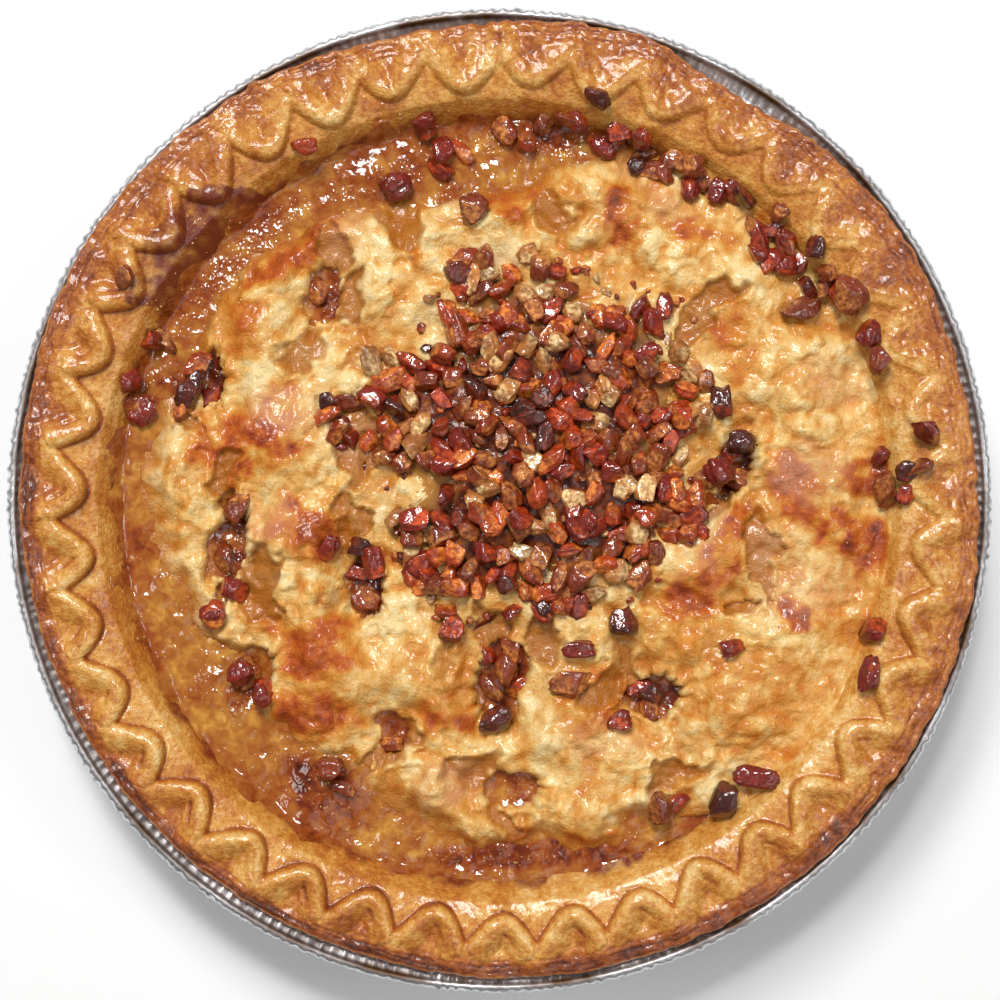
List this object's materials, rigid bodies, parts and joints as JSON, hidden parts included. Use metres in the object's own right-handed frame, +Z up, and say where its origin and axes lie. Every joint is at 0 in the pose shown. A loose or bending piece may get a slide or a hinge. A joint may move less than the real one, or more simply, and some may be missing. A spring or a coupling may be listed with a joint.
{
  "type": "peach praline pie in a foil pan",
  "caption": "Baked peach praline pie in an aluminium foil pan: crimped crust rim, lumpy glazed top crust with leaf-cut openings, chopped pecan praline.",
  "frame": {"origin": "middle of the pan's flat underside", "axes": "+Z up through the pie; X to the right and Y away, as the pie is seen from above"},
  "size_m": [0.248, 0.248, 0.0448],
  "materials": {
    "foil": "rolled foil, pressed and wrinkled, bright",
    "pastry": null,
    "pale_pastry": null,
    "filling": null,
    "praline": null,
    "pecan": null
  },
  "bodies": {
    "root": {"foil_pan": "foil", "pie_crust": "pastry", "peach_filling": "filling", "top_crust": "pale_pastry", "praline_heap": "praline", "pecan_01": "pecan", "pecan_02": "pecan", "pecan_03": "pecan", "pecan_04": "pecan", "pecan_05": "pecan", "pecan_06": "pecan", "pecan_07": "pecan", "pecan_08": "pecan", "pecan_09": "pecan", "pecan_10": "pecan", "pecan_11": "pecan", "pecan_12": "pecan", "pecan_13": "pecan", "pecan_14": "pecan", "pecan_15": "pecan", "pecan_16": "pecan", "pecan_17": "pecan", "pecan_18": "pecan", "pecan_19": "pecan", "pecan_20": "pecan", "pecan_21": "pecan", "pecan_22": "pecan", "pecan_23": "pecan", "pecan_24": "pecan", "pecan_25": "pecan", "pecan_26": "pecan", "pecan_27": "pecan", "pecan_28": "pecan", "pecan_29": "pecan", "pecan_30": "pecan", "pecan_31": "pecan", "pecan_32": "pecan", "pecan_33": "pecan", "pecan_34": "pecan", "pecan_35": "pecan", "pecan_36": "pecan", "pecan_37": "pecan", "pecan_38": "pecan", "pecan_39": "pecan", "pecan_40": "pecan", "pecan_41": "pecan", "pecan_42": "pecan", "pecan_43": "pecan", "pecan_44": "pecan", "pecan_45": "pecan", "pecan_46": "pecan", "pecan_47": "pecan", "pecan_48": "pecan", "pecan_49": "pecan", "pecan_50": "pecan", "pecan_51": "pecan", "pecan_52": "pecan"}
  },
  "joints": []
}
